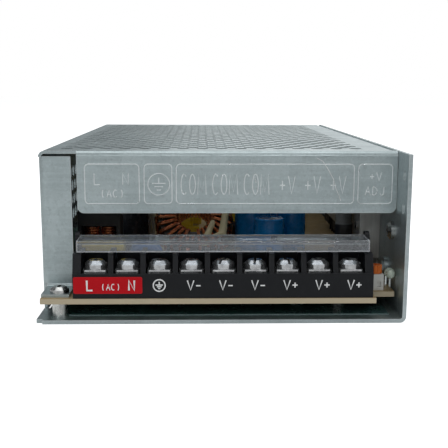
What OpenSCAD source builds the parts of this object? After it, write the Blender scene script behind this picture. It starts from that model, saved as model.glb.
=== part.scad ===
// Open-frame switching power supply in a folded sheet case with a perforated cover.
// Front edge at -Y, terminal block at the front, heat-sinking side wall at +X, floor at Z 0.

/* [Case] */
// Width across both side walls
case_w = 110; // [109:1:120]
// Length from the front edge of the floor to the rear panel
case_l = 200; // [198:1:230]
// Height over the cover
case_h = 50; // [48:1:60]
// Thickness of the chassis sheet
chassis_t = 1.2; // [1:0.1:1.4]
// Thickness of the cover sheet
cover_t = 0.9; // [0.7:0.1:1]
// Outside radius of the sheet bends
bend_r = 1.9; // [1.7:0.1:2.4]
// Clearance between cover and chassis wall
cover_gap = 0.1; // [0.1:0.05:0.3]

/* [Front of the cover] */
// How far the front lip stands behind the front edge of the floor
lip_setback = 14; // [13.5:0.5:18]
// Height of the front lip
lip_h = 18.9; // [15:0.1:20]
// Width of the flange beside the lip
flange_w = 9.7; // [8:0.1:10]
// Slit between flange and lip
flange_slit = 1.7; // [1:0.1:2.5]
// Length of the foot tab that lies on the board
foot_l = 12.6; // [12:0.1:13]

/* [Perforation] */
// Diameter of the holes
hole_d = 4; // [3:0.1:4.5]
// Distance between hole centres
hole_pitch = 6; // [5.5:0.5:8]
// Plain margin at the front of the perforated fields
mesh_front_margin = 6; // [5:0.5:10]
// Plain margin at the rear of the perforated fields
mesh_rear_margin = 10; // [8:0.5:20]
// Plain margin beside the left bend
mesh_left_margin = 5; // [4:0.5:8]
// Plain margin beside the right flange
mesh_right_margin = 9; // [7:0.5:12]
// Height of the perforated field in the left wall
side_mesh_h = 22; // [12:1:24]

/* [Board] */
// Height of the spacers under the board
spacer_h = 4.8; // [4.6:0.1:6]
// Diameter of the spacers
spacer_d = 4.6; // [4.2:0.1:6]
// Board thickness
board_t = 1.6; // [1.2:0.1:2]
// Gap between the board's sides and the case walls
board_gap = 0.5; // [0.3:0.1:0.8]
// Thickness of the insulating film on the floor
film_t = 0.3; // [0.2:0.05:0.5]

/* [Terminal block] */
// Number of terminals
terminals = 9; // [9:1:9]
// Distance between terminals
pitch = 9.5; // [9.5:0.1:9.8]
// Offset of the block to the right of the case centre
block_shift = 0.5; // [0:0.1:0.8]
// Depth of the block from front to back
block_d = 16.2; // [16:0.1:17]
// Height of the contact deck above the board
deck_h = 6.4; // [6:0.1:7]
// Thickness of the barriers between terminals
barrier_t = 1.5; // [1:0.1:1.7]
// Height of the barriers above the deck
barrier_h = 6.6; // [6.4:0.1:7]
// Thickness of the end ears
ear_t = 1.3; // [1.2:0.1:1.5]
// Height of the hinge axis of the clear cover above the deck
hinge_h = 9.6; // [9.4:0.1:10.4]
// Radius of the hinge pins
hinge_pin_r = 1.15; // [1:0.05:1.3]
// Wall thickness of the clear cover
lid_t = 1.1; // [0.8:0.1:1.3]

/* [Terminal screws] */
// Thread diameter
screw_d = 3.5; // [3:0.1:3.8]
// Diameter of the screw heads
head_d = 6.8; // [6.4:0.1:7]
// Height of the screw heads
head_h = 2.5; // [2:0.1:2.7]
// Width of the square clamp washers
washer_w = 7.3; // [7:0.1:7.4]
// Thickness of washers and contact plates
contact_t = 0.9; // [0.7:0.1:1]

/* [Power parts] */
// Diameter of the bulk capacitors
bulk_d = 22; // [18:0.5:22]
// Height of the bulk capacitors
bulk_h = 35; // [30:1:38]
// Outer diameter of the output choke core
ring_od = 24.5; // [22:0.5:24.5]
// Inner diameter of the output choke core
ring_id = 13; // [12:0.5:14]
// Thickness of the output choke core
ring_t = 10; // [8:0.5:10.5]
// Wire diameter of the output choke
wire_d = 1.2; // [0.9:0.1:1.2]
// Turns on the output choke
ring_turns = 26; // [20:1:26]
// Lean of the output choke from upright
ring_lean = 40; // [30:1:45]
// Width of the main transformer core
core_w = 33; // [30:1:33]
// Height of the main transformer core
core_h = 17; // [14:1:18]
// Thickness of the power devices
device_t = 5; // [4.4:0.1:5]
// Thickness of the clamp bar
bar_t = 1.5; // [1:0.1:2]

/* [Hidden] */
$fn = 48;
fit = 0.05;                 // radial running clearance of screws, pins and shafts
slack = 0.1;                // clearance of parts dropped into a pocket
eps = 0.01;                 // overlap that makes cuts break through

left_x = -case_w/2;
right_x = case_w/2;
front_y = -case_l/2;
rear_y = case_l/2;
wall_in_x = right_x - chassis_t;                // inner face of the right wall
cover_right_x = wall_in_x - cover_gap;          // outer face of the cover's right flange
cover_left_in_x = left_x + cover_t;             // inner face of the cover's left wall
lip_y = front_y + lip_setback;                  // front face of the lip
lip_z = case_h - lip_h;
floor_gap = 0.4;                                // cover's lower edges stay clear of the ground
board_z = chassis_t + spacer_h;
board_top = board_z + board_t;

// Fasteners: M3
m3_r = 1.5;
flat_head_r = 2.6;
pan_head_r = 2.9;
pan_head_h = 1.9;

// ---------- shared shapes ----------

// Rectangle with rounded corners, centred
module rounded_rect(w, l, r) {
    square([w - 2*r, l], center = true);
    square([w, l - 2*r], center = true);
    for (x = [-1, 1], y = [-1, 1])
        translate([x*(w/2 - r), y*(l/2 - r)]) circle(r = r);
}

// Pan head with a cross recess, its seat at Z 0, its shank below
module pan_screw(shank_r, shank_l, head_r, height, cross_w = 0.9, slot = false) {
    dome = height*0.45;
    difference() {
        union() {
            cylinder(r = head_r, h = height - dome);
            translate([0, 0, height - dome]) cylinder(r1 = head_r, r2 = head_r*0.62, h = dome);
            translate([0, 0, -shank_l]) cylinder(r = shank_r, h = shank_l + eps);
        }
        for (a = [0, 90])
            rotate(a) translate([-head_r*0.5, -cross_w/2, height*0.45]) cube([head_r, cross_w, height]);
        if (slot) translate([-head_r - 1, -cross_w*0.4, height*0.62]) cube([2*head_r + 2, cross_w*0.8, height]);
    }
}

// Countersunk screw, its flat top at Z 0, pointing down
module flat_screw(length) {
    difference() {
        union() {
            translate([0, 0, -0.8]) cylinder(r1 = m3_r, r2 = flat_head_r, h = 0.8);
            translate([0, 0, -length]) cylinder(r = m3_r, h = length - 0.8 + eps);
        }
        for (a = [0, 90]) rotate(a) translate([-1.5, -0.35, -0.5]) cube([3, 0.7, 1]);
    }
}

// Hole for a countersunk screw, cut from Z 0 downwards
module flat_screw_hole(depth) {
    translate([0, 0, -0.8 - fit]) cylinder(r1 = m3_r + fit, r2 = flat_head_r + 2*fit, h = 0.8 + fit + eps);
    translate([0, 0, -depth]) cylinder(r = m3_r + fit, h = depth);
}

// Electrolytic can with a rolled groove and a vented top
module can(d, h) {
    groove = d*0.03;
    rim = d*0.06;
    difference() {
        rotate_extrude()
            difference() {
                union() {
                    square([d/2 - rim, h]);
                    square([d/2, h - rim]);
                    translate([d/2 - rim, h - rim]) circle(r = rim);
                }
                translate([d/2 + groove*0.6, d*0.14]) circle(r = groove*1.6);
                translate([-eps, h - groove]) square([d/2 - 1.6*rim, groove + eps]);
            }
        for (a = [0, 120, 240])
            rotate(a) translate([0, -d*0.015, h - 2*groove]) cube([d*0.3, d*0.03, 3*groove]);
    }
}

// ---------- chassis ----------

tab_w = 14;                                     // upturned tabs that take the cover screws
tab_z = 14;                                     // top edge of the tabs
tab_screw_z = 10.5;
left_tab_y = [for (y = [40, 110, 180]) front_y + y];
rear_tab_x = [-30, 25];
right_screw_y = [for (y = [30, 105, 182]) front_y + y];
right_screw_z = case_h - cover_t - 5.5;
right_flange_h = 9;                             // cover's flange inside the right wall
front_apron = lip_setback + 1;                  // floor reaches the full width in front of the cover

mount_hole_r = 1.7;                             // tapped M4 core
mount_boss_r = 2.8;
mount_boss_h = 1.3;
mount_dx = 50;
mount_dy = 150;
side_mount_dy = 150;
side_mount_z = [12.5, 37.5];
wall_hole_y = front_y + 4.7;                    // two plain holes at the front of the wall
wall_hole_z = [33.7, 43.3];
wall_screw = [front_y + 17.7, 25.2];            // earth screw on the wall's inner face
clamp_screw_y = [for (y = [42, 66, 90, 114, 138]) front_y + y];
clamp_screw_z = 23;

module chassis_profile() {
    difference() {
        union() {
            translate([left_x + bend_r, 0]) square([case_w - 2*bend_r, chassis_t]);
            translate([wall_in_x, bend_r]) square([chassis_t, case_h - bend_r]);
            translate([right_x - bend_r, bend_r]) intersection() {
                circle(r = bend_r);
                translate([0, -bend_r]) square(bend_r);
            }
        }
        translate([right_x - bend_r, bend_r]) circle(r = bend_r - chassis_t);
    }
}

// Tab folded up from an edge of the floor: width along X, sheet along Y, inner face towards -Y
module tab() {
    corner = 2;
    difference() {
        translate([0, chassis_t, 0]) rotate([90, 0, 0]) linear_extrude(chassis_t) {
            translate([-tab_w/2, 0]) square([tab_w, tab_z - corner]);
            translate([-tab_w/2 + corner, 0]) square([tab_w - 2*corner, tab_z]);
            for (s = [-1, 1]) translate([s*(tab_w/2 - corner), tab_z - corner]) circle(r = corner);
        }
        translate([0, -1, tab_screw_z]) rotate([-90, 0, 0]) cylinder(r = m3_r + fit, h = chassis_t + 2);
    }
}

module chassis() color("#aebfbd") {
    tab_x = cover_left_in_x;                    // outer face of the left tabs
    tab_y = rear_y - cover_t;                   // outer face of the rear tabs
    difference() {
        union() {
            difference() {
                translate([0, rear_y, 0]) rotate([90, 0, 0]) linear_extrude(case_l) chassis_profile();
                translate([left_x - 1, front_y + front_apron, -1])
                    cube([1 + cover_t, case_l, chassis_t + 2]);
                translate([left_x - 1, rear_y - cover_t, -1])
                    cube([cover_right_x + cover_gap - left_x + 1, cover_t + 1, chassis_t + 2]);
            }
            translate([left_x, front_y + 1.5, 0]) cube([bend_r + eps, front_apron - 1.5, chassis_t]);
            for (y = left_tab_y) translate([tab_x, y, 0]) rotate(90) mirror([0, 1, 0]) tab();
            for (x = rear_tab_x) translate([x, tab_y - chassis_t, 0]) tab();
            for (x = [-1, 1], y = [-1, 1])
                translate([x*mount_dx/2, y*mount_dy/2, 0]) cylinder(r = mount_boss_r, h = chassis_t + mount_boss_h);
            for (z = side_mount_z, y = [-1, 1])
                translate([right_x, y*side_mount_dy/2, z]) rotate([0, -90, 0])
                    cylinder(r = mount_boss_r, h = chassis_t + mount_boss_h);
        }
        for (x = [-1, 1], y = [-1, 1])
            translate([x*mount_dx/2, y*mount_dy/2, -1]) cylinder(r = mount_hole_r, h = chassis_t + mount_boss_h + 2);
        for (z = side_mount_z, y = [-1, 1])
            translate([right_x + 1, y*side_mount_dy/2, z]) rotate([0, -90, 0])
                cylinder(r = mount_hole_r, h = chassis_t + mount_boss_h + 2);
        for (z = wall_hole_z)
            translate([wall_in_x - 1, wall_hole_y, z]) rotate([0, 90, 0]) cylinder(r = m3_r + slack, h = chassis_t + 2);
        for (y = right_screw_y)
            translate([right_x, y, right_screw_z]) rotate([0, 90, 0]) flat_screw_hole(chassis_t + 1);
        for (y = clamp_screw_y)
            translate([right_x, y, clamp_screw_z]) rotate([0, 90, 0]) flat_screw_hole(chassis_t + 1);
        translate([wall_in_x - 1, wall_screw[0], wall_screw[1]]) rotate([0, 90, 0])
            cylinder(r = m3_r + fit, h = chassis_t + 2);
        for (p = spacer_at) translate([p[0], p[1], -1]) cylinder(r = spacer_d/2 - 0.8 + fit, h = chassis_t + 2);
    }
}

// ---------- cover ----------

lip_left_x = left_x + flange_w + flange_slit;
lip_corner_r = 2;
mesh_x0 = left_x + mesh_left_margin;
mesh_x1 = cover_right_x - mesh_right_margin;
mesh_y0 = lip_y + mesh_front_margin;
mesh_y1 = rear_y - mesh_rear_margin;
side_mesh_z = 30;                               // centre height of the side field
row_gap = hole_pitch*sqrt(3)/2;
window = [12.6, 6.6];                           // selector window, along Y and Z
selector_y = front_y + 75;
selector_z = 13.6;

// Field of staggered round holes, w by l, centred
module hole_field(w, l) {
    nx = floor((w - hole_d)/hole_pitch);
    ny = floor((l - hole_d)/row_gap);
    for (j = [0:ny], i = [0:nx - (j % 2)])
        translate([(i - (nx - j % 2)/2)*hole_pitch, (j - ny/2)*row_gap]) circle(d = hole_d, $fn = 24);
}

// Sheet with a perforated field, w by l, centred
module perforated(w, l) {
    difference() {
        square([w, l], center = true);
        hole_field(w, l);
    }
}

// Section of the cover across its length: left wall, top and right flange
module cover_profile() {
    translate([left_x, floor_gap]) square([cover_t, case_h - floor_gap - bend_r]);
    translate([left_x + bend_r, case_h - cover_t]) square([cover_right_x - left_x - 2*bend_r, cover_t]);
    translate([cover_right_x - cover_t, case_h - right_flange_h]) square([cover_t, right_flange_h - bend_r]);
    translate([left_x + bend_r, case_h - bend_r]) rotate(90) bend_2d();
    translate([cover_right_x - bend_r, case_h - bend_r]) bend_2d();
}

// Quarter of a sheet bend, in the first quadrant
module bend_2d() {
    difference() {
        intersection() {
            circle(r = bend_r);
            square(bend_r);
        }
        circle(r = bend_r - cover_t);
    }
}

module front_lip() {
    w = cover_right_x - lip_left_x;
    translate([lip_left_x, lip_y + cover_t, lip_z]) rotate([90, 0, 0]) linear_extrude(cover_t) {
        translate([0, lip_corner_r]) square([w, lip_h - lip_corner_r - bend_r]);
        translate([lip_corner_r, 0]) square([w - 2*lip_corner_r, lip_h - bend_r]);
        for (x = [lip_corner_r, w - lip_corner_r]) translate([x, lip_corner_r]) circle(r = lip_corner_r);
    }
    along_x(lip_left_x, w) translate([lip_y + bend_r, case_h - bend_r]) rotate(90) bend_2d();
}

// Flange folded in from the left wall, and the foot folded forward from its lower edge
foot_screw = [left_x + 6.5, lip_y - 8.6];
foot_notch = 1.4;
flange_z1 = case_h - cover_t - 0.8;             // upper end of the flange, under its slit
module front_flange() {
    z0 = board_top + bend_r;
    foot_x0 = left_x + foot_notch;
    translate([0, 0, z0]) linear_extrude(flange_z1 - z0) {
        translate([left_x + bend_r, lip_y + bend_r]) rotate(180) bend_2d();
        translate([left_x + bend_r, lip_y]) square([flange_w - bend_r, cover_t]);
    }
    difference() {
        union() {
            along_x(foot_x0, flange_w - foot_notch)
                translate([lip_y + cover_t - bend_r, board_top + bend_r]) rotate(-90) bend_2d();
            translate([foot_x0, lip_y - foot_l + cover_t, board_top])
                cube([flange_w - foot_notch, foot_l - bend_r, cover_t]);
        }
        translate([foot_screw[0], foot_screw[1], board_top - 1]) cylinder(r = m3_r + fit, h = cover_t + 2);
    }
}

// Rear panel folded down from the top, with relief notches at its upper corners
module rear_panel() {
    x0 = left_x + cover_t + 0.15;
    translate([x0, rear_y - cover_t, floor_gap]) cube([cover_right_x - x0, cover_t, case_h - floor_gap - bend_r]);
    along_x(left_x + bend_r, cover_right_x - left_x - 2*bend_r)
        translate([rear_y - bend_r, case_h - bend_r]) bend_2d();
}

module mesh_cover() color("#b6c4c3") {
    top_w = mesh_x1 - mesh_x0;
    top_l = mesh_y1 - mesh_y0;
    difference() {
        union() {
            difference() {
                translate([0, rear_y, 0]) rotate([90, 0, 0]) linear_extrude(rear_y - lip_y) cover_profile();
                // room for the folds at the front and rear
                translate([lip_left_x, lip_y - 1, case_h/2]) cube([case_w, bend_r + 1, case_h]);
                translate([left_x - 1, lip_y - 1, -1]) cube([bend_r + 1, bend_r + 1, case_h - cover_t]);
                translate([left_x + cover_t, rear_y - bend_r, case_h - bend_r - 1]) cube([case_w, case_w, case_h]);
                translate([cover_right_x - 3, rear_y - bend_r, case_h/2]) cube([5, 5, case_h]);
                translate([mesh_x0, mesh_y0, case_h - cover_t - 1]) cube([top_w, top_l, cover_t + 2]);
                translate([left_x - 1, mesh_y0, side_mesh_z - side_mesh_h/2])
                    cube([cover_t + 2, top_l, side_mesh_h]);
            }
            translate([(mesh_x0 + mesh_x1)/2, (mesh_y0 + mesh_y1)/2, case_h - cover_t])
                linear_extrude(cover_t) perforated(top_w, top_l);
            translate([left_x, (mesh_y0 + mesh_y1)/2, side_mesh_z]) rotate([90, 0, 90])
                linear_extrude(cover_t) perforated(top_l, side_mesh_h);
            front_lip();
            front_flange();
            rear_panel();
        }
        // the right flange stops short of the lip
        translate([cover_right_x - cover_t - 1, lip_y + bend_r - eps, case_h - right_flange_h - 1])
            cube([cover_t + 1.5, 10, right_flange_h + 1 - bend_r]);
        for (y = left_tab_y) translate([left_x, y, tab_screw_z]) rotate([0, -90, 0]) flat_screw_hole(cover_t + 1);
        for (x = rear_tab_x) translate([x, rear_y, tab_screw_z]) rotate([-90, 0, 0]) flat_screw_hole(cover_t + 1);
        for (y = right_screw_y)
            translate([cover_right_x + 1, y, right_screw_z]) rotate([0, -90, 0]) cylinder(r = m3_r + fit, h = cover_t + 3);
        translate([left_x - 1, selector_y - window[0]/2, selector_z - window[1]/2])
            cube([cover_t + 2, window[0], window[1]]);
    }
}

// ---------- floor film, board, spacers, screws ----------

spacer_at = concat([foot_screw], [for (p = [[-48.1, 150], [38, 24], [38, 160], [-12, 90]]) [p[0], front_y + p[1]]]);

module insulating_film() color("#d8e0df") {
    edge = 4;
    difference() {
        translate([left_x + edge, front_y + 5.4, chassis_t])
            cube([case_w - 2*edge, case_l - 5.4 - edge - 2, film_t]);
        for (p = spacer_at) translate([p[0], p[1], 0]) cylinder(r = spacer_d/2 + 0.3, h = 5);
        for (x = [-1, 1], y = [-1, 1])
            translate([x*mount_dx/2, y*mount_dy/2, 0]) cylinder(r = mount_boss_r + 0.3, h = 5);
    }
}

board_left_x = cover_left_in_x + board_gap;
board_right_x = wall_in_x - board_gap - 0.3;
board_front_y = front_y + 0.3;
board_rear_y = rear_y - cover_t - chassis_t - board_gap;
step_x = 45.9;                                  // the board is set back at its front-right corner
step_y = front_y + 8.6;
tab_notch = chassis_t + 0.4;

module circuit_board() color("#b39a6b") {
    difference() {
        translate([board_left_x, board_front_y, board_z])
            cube([board_right_x - board_left_x, board_rear_y - board_front_y, board_t]);
        translate([step_x, front_y - 1, board_z - 1]) cube([20, step_y - front_y + 1, board_t + 2]);
        for (y = left_tab_y)
            translate([board_left_x - 2, y - tab_w/2 - 0.6, board_z - 1])
                cube([2 + cover_left_in_x + tab_notch - board_left_x, tab_w + 1.2, board_t + 2]);
        for (p = spacer_at) translate([p[0], p[1], 0]) cylinder(r = m3_r + fit, h = 20);
        for (i = [0:terminals - 1])
            translate([term_x(i) - leg_w/2 - slack, leg_y - slack, board_z - 1])
                cube([leg_w + 2*slack, contact_t + 2*slack, board_t + 2]);
        for (y = device_y, k = [-1:1])
            translate([device_lead_x - 0.5, y + k*lead_gap - 0.8, board_z - 1]) cube([1, 1.6, board_t + 2]);
    }
}

module spacers() color("#c9ccca") {
    for (p = spacer_at) translate([p[0], p[1], 0])
        difference() {
            union() {
                translate([0, 0, chassis_t]) cylinder(d = spacer_d, h = spacer_h);
                translate([0, 0, 0.2]) cylinder(r = spacer_d/2 - 0.8, h = chassis_t);
            }
            cylinder(r = m3_r - 0.2 + fit, h = 20);
        }
}

module board_screw() pan_screw(m3_r - 0.2, board_t + cover_t + 1.6, pan_head_r, pan_head_h);

module board_screws() color("#d4d7d6") {
    for (k = [0:len(spacer_at) - 1]) {
        lift = k == 0 ? cover_t : 0;            // the first one also holds the cover's foot
        translate([spacer_at[k][0], spacer_at[k][1], board_top + lift]) board_screw();
    }
}

module case_screws() color("#d4d7d6") {
    for (y = left_tab_y) translate([left_x, y, tab_screw_z]) rotate([0, -90, 0]) flat_screw(2.4);
    for (x = rear_tab_x) translate([x, rear_y, tab_screw_z]) rotate([-90, 0, 0]) flat_screw(2.4);
    for (y = right_screw_y) translate([right_x, y, right_screw_z]) rotate([0, 90, 0]) flat_screw(3.6);
    translate([wall_in_x, wall_screw[0], wall_screw[1]]) rotate([0, -90, 0])
        pan_screw(m3_r, chassis_t, pan_head_r, pan_head_h);
}

// ---------- terminal block ----------

function term_x(i) = block_shift + (i - (terminals - 1)/2)*pitch;
block_front_y = front_y + 0.8;
block_back_y = block_front_y + block_d;
block_w = terminals*pitch + 3.4;
block_x0 = block_shift - block_w/2;
deck_z = board_top + deck_h;
front_wall_t = 1.2;
front_wall_z = deck_z + 1;
back_wall_t = 3;
back_wall_z = deck_z + 5;
barrier_z = deck_z + barrier_h;
screw_y = front_y + 6.1;
hinge_y = block_front_y + 10.6;
hinge_z = deck_z + hinge_h;
hinge_boss_r = hinge_pin_r + 1.25;
leg_w = 3;
leg_y = block_front_y + 10.4;                   // front face of the solder legs
leg_tail = 1.6;                                 // legs reach this far below the board
lid_front_y = block_front_y + 0.5;
lid_drop = 3.3;                                 // depth of the clear cover's front edge
pin_l = ear_t - 0.2;

// Outline of a barrier from the side
module barrier_2d(top_z) {
    polygon([[block_front_y + 0.4, deck_z - 1], [block_front_y + 0.4, front_wall_z],
             [block_front_y + 2.2, top_z], [block_back_y - back_wall_t, top_z],
             [block_back_y - back_wall_t + 0.5, back_wall_z], [block_back_y - 0.5, back_wall_z],
             [block_back_y - 0.5, deck_z - 1]]);
}

// Outline of an end ear from the side, with the bearing of the clear cover
module ear_2d() {
    difference() {
        union() {
            barrier_2d(barrier_z);
            polygon([[hinge_y - 3.4, barrier_z - 1], [hinge_y - hinge_boss_r, hinge_z],
                     [hinge_y + hinge_boss_r, hinge_z], [block_back_y - 0.6, back_wall_z - 1]]);
            translate([hinge_y, hinge_z]) circle(r = hinge_boss_r);
        }
        translate([hinge_y, hinge_z]) circle(r = hinge_pin_r + fit);
    }
}

// Extrude a side outline (drawn in Y and Z) along X
module along_x(x, t) translate([x, 0, 0]) rotate([90, 0, 90]) linear_extrude(t) children();

module terminal_block() color("#1d1e1f") {
    end_t = (block_w - terminals*pitch)/2 + barrier_t/2;
    difference() {
        union() {
            translate([block_x0, block_front_y, board_top]) cube([block_w, block_d, deck_h]);
            translate([block_x0, block_front_y, board_top]) cube([block_w, front_wall_t, deck_h + 1]);
            translate([block_x0, block_back_y - back_wall_t, board_top]) cube([block_w, back_wall_t, deck_h + 5]);
            for (i = [1:terminals - 1]) along_x(term_x(i) - (pitch + barrier_t)/2, barrier_t) barrier_2d(barrier_z);
            along_x(block_x0, end_t) barrier_2d(barrier_z);
            along_x(block_x0 + block_w - end_t, end_t) barrier_2d(barrier_z);
            along_x(block_x0, ear_t) ear_2d();
            along_x(block_x0 + block_w - ear_t, ear_t) ear_2d();
        }
        for (i = [0:terminals - 1]) {
            translate([term_x(i), screw_y, board_top + 1.2]) cylinder(r = screw_d/2 + 0.3, h = deck_h);
            translate([term_x(i) - leg_w/2 - slack, leg_y - slack, board_top - 1])
                cube([leg_w + 2*slack, contact_t + 2*slack, deck_h + 2]);
        }
    }
}

module terminal_plates() color("#c8c2ae") {
    plate_w = pitch - barrier_t - 0.6;
    plate_y0 = block_front_y + front_wall_t + 0.2;
    for (i = [0:terminals - 1]) translate([term_x(i), 0, 0]) {
        difference() {
            translate([-plate_w/2, plate_y0, deck_z]) cube([plate_w, leg_y + contact_t - plate_y0, contact_t]);
            translate([0, screw_y, deck_z - 1]) cylinder(r = screw_d/2 + fit, h = contact_t + 2);
        }
        translate([-leg_w/2, leg_y, board_top]) cube([leg_w, contact_t, deck_h + contact_t]);
        for (s = [-1, 1])
            translate([s*leg_w/4 - 0.5, leg_y, board_z - leg_tail]) cube([1, contact_t, board_t + leg_tail + eps]);
    }
}

washer_z = deck_z + contact_t;
head_z = washer_z + contact_t;

module clamp_washer(i) color("#cfd2d1") {
    translate([term_x(i), screw_y, washer_z])
        difference() {
            linear_extrude(contact_t) difference() {
                rounded_rect(washer_w, washer_w, 0.8);
                circle(r = screw_d/2 + fit);
            }
            for (s = [-1, 1]) translate([s*washer_w*0.32 - 0.3, -washer_w, -eps]) cube([0.6, 2*washer_w, 0.25]);
        }
}

module terminal_screw(i) color("#dcdedd") {
    translate([term_x(i), screw_y, head_z]) rotate(17*i)
        pan_screw(screw_d/2, 2*contact_t + 4.2, head_d/2, head_h, 1, true);
}

module marker_strip() color("#c3202c") {
    w = 2.13*pitch;
    translate([block_x0 + 0.25 + w/2, block_front_y, board_top + 1.5 + 2.5]) rotate([90, 0, 0])
        linear_extrude(0.25) rounded_rect(w, 5, 0.5);
}

module terminal_cover() color([0.85, 0.87, 0.9, 0.45]) {
    x0 = block_x0 + ear_t + slack;
    w = block_w - 2*ear_t - 2*slack;
    top_z = hinge_z + lid_t;
    back_y = hinge_y + 1.3;
    along_x(x0, w) {
        translate([lid_front_y + 0.6, top_z - lid_t]) square([back_y - lid_front_y - 0.6, lid_t]);
        translate([lid_front_y, top_z - lid_drop]) square([lid_t, lid_drop - 0.6]);
        translate([lid_front_y + 0.6, top_z - 0.6]) circle(r = 0.6);
        translate([lid_front_y, top_z - lid_t]) square([lid_t, lid_t - 0.6]);
        translate([hinge_y, hinge_z]) circle(r = hinge_pin_r + 0.15);
    }
    for (x = [x0 - pin_l + eps, x0 + w - eps])
        translate([x, hinge_y, hinge_z]) rotate([0, 90, 0]) cylinder(r = hinge_pin_r, h = pin_l);
}

// ---------- trimmer and lamp ----------

trimmer = [47.7, front_y + 12.6];
trimmer_w = 4.5;
trimmer_h = 5;
knob_r = 2;
knob_h = 2.6;
knob_pin_r = 1;

module trimmer_body() color("#e8e6df") {
    translate([trimmer[0], trimmer[1], board_top])
        difference() {
            translate([-trimmer_w/2, -trimmer_w/2, 0]) cube([trimmer_w, trimmer_w, trimmer_h]);
            translate([0, 0, trimmer_h - 1.6]) cylinder(r = knob_pin_r + fit, h = 3);
            translate([trimmer_w/2 - 2.1, -trimmer_w/2 - 1, 1]) cube([1.4, 2, 1.8]);
        }
}

module trimmer_knob() color("#e8722a") {
    translate([trimmer[0], trimmer[1], board_top + trimmer_h + slack])
        difference() {
            union() {
                cylinder(r = knob_r, h = knob_h);
                translate([0, 0, -1.5]) cylinder(r = knob_pin_r, h = 2);
            }
            for (a = [0, 90]) rotate(a) translate([-knob_r*0.7, -0.4, knob_h - 1]) cube([knob_r*1.4, 0.8, 2]);
            for (a = [0:30:330]) rotate(a) translate([knob_r + 0.25, 0, -eps]) cylinder(r = 0.45, h = knob_h + 1);
        }
}

lamp = [51.9, front_y + 12.2];
module indicator_lamp() color("#d9e4dc") {
    lamp_r = 1.4;
    axis_z = board_top + 5.2;
    translate([lamp[0], lamp[1], axis_z]) rotate([90, 0, 0]) {
        cylinder(r = lamp_r, h = 2.4);
        translate([0, 0, 2.4]) sphere(r = lamp_r);
        cylinder(r = lamp_r + 0.2, h = 0.9);
    }
    for (s = [-1, 1]) translate([lamp[0] + s*0.64 - 0.25, 0, 0]) {
        translate([0, lamp[1] - eps, axis_z - 0.25]) cube([0.5, 1.9, 0.5]);
        translate([0, lamp[1] + 1.4, board_top]) cube([0.5, 0.5, axis_z - board_top]);
    }
}

// ---------- mains side ----------

strip_x = cover_left_in_x + 4.3;                // centre of the row beside the left wall
choke_at = [-38.9, front_y + 33];
film_cap_at = [-36.8, front_y + 22.6];

module mains_fuse() color("#cfd3cf") {
    tube_r = 2.5;
    translate([strip_x, front_y + 21, board_top + tube_r + 1.4]) rotate([-90, 0, 0]) {
        cylinder(r = tube_r - 0.25, h = 20);
        for (z = [0, 15]) translate([0, 0, z]) cylinder(r = tube_r, h = 5);
    }
    for (y = [22, 37.5]) translate([strip_x - 1.5, front_y + y, board_top]) cube([3, 2.5, 2.2]);
}

module inrush_thermistor() color("#2c3a33") {
    translate([strip_x + 1, front_y + 52, board_top + 7.6]) rotate([90, 0, 90]) translate([0, 0, -2.2]) {
        cylinder(r = 5.5, h = 4.4);
        for (s = [-2.5, 2.5]) translate([s - 0.4, -7.6, 1.8]) cube([0.8, 4, 0.8]);
    }
}

module mains_capacitor() color("#e3c21f") {
    translate([film_cap_at[0], film_cap_at[1], board_top]) linear_extrude(14.4) rounded_rect(13.5, 6, 0.7);
}

module disc_capacitors() color("#2b6fb5") {
    for (y = [20.6, 27.4]) translate([-23.8, front_y + y, board_top + 8]) rotate([90, 0, 0]) {
        translate([0, 0, -1.8]) rotate_extrude() {
            square([3.8, 3.6]);
            translate([3.8, 1.8]) circle(r = 1.8);
        }
        for (s = [-2.5, 2.5]) translate([s - 0.3, -8, -0.3]) cube([0.6, 4.5, 0.6]);
    }
}

coil_dx = 5.5;                                  // between the two filter windings
coil_r = 1.7;                                   // radius of the legs inside them
coil_wire = 0.8;
coil_turns = 15;
coil_z = 4.2;                                   // height of the windings above the board

module filter_choke_core() color("#262829") {
    h = 22;
    translate([choke_at[0], choke_at[1], board_top]) {
        difference() {
            translate([-6.8, -5, 0]) cube([13.6, 10, h]);
            translate([-5.6, -6, coil_z - 0.3]) cube([11.2, 12, coil_turns*coil_wire*1.05 + 0.9]);
        }
        for (s = [-1, 1]) translate([s*coil_dx/2, 0, 1]) cylinder(r = coil_r, h = h - 2);
    }
}

module filter_choke_windings() color("#b4613a") {
    gap = coil_wire*1.05;
    for (s = [-1, 1]) translate([choke_at[0] + s*coil_dx/2, choke_at[1], board_top + coil_z])
        rotate_extrude() {
            translate([coil_r + fit, 0]) square([0.35, coil_turns*gap]);
            for (k = [0:coil_turns - 1])
                translate([coil_r + fit + 0.3 + coil_wire/2 - 0.2, (k + 0.5)*gap]) circle(r = coil_wire/2, $fn = 24);
        }
}

module bridge_rectifier() color("#232425") {
    translate([strip_x + 1.2, front_y + 97.5, board_top]) rotate([90, 0, 90]) translate([0, 0, -2.2]) difference() {
        union() {
            translate([-11, 2.5, 0]) cube([22, 15, 4.4]);
            for (k = [-1.5:1:1.5]) translate([k*5 - 0.6, 0, 1.8]) cube([1.2, 3, 0.8]);
        }
        translate([0, 13, -1]) cylinder(r = 1.7, h = 8);
        translate([11 - 2, 17.5 - 2, -1]) rotate(45) translate([0, -4, 0]) cube([6, 8, 8]);
    }
}

bulk_x = -34.6;
module bulk_capacitors() color("#1f2226") {
    for (k = [0, 1]) translate([bulk_x, front_y + 57.5 + k*(bulk_d + 2), board_top]) can(bulk_d, bulk_h);
}

// ---------- transformers ----------

trafo = [12.5, front_y + 97];
trafo_l = 33;                                   // core length along Y
core_z = 9.2;                                   // underside of the core above the board
end_plate = 5.5;
leg_side = 5;
coil_w = core_w - 2*leg_side - 0.8;
coil_h = core_h + 11;
coil_l = trafo_l - 2*end_plate - 0.8;

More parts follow.
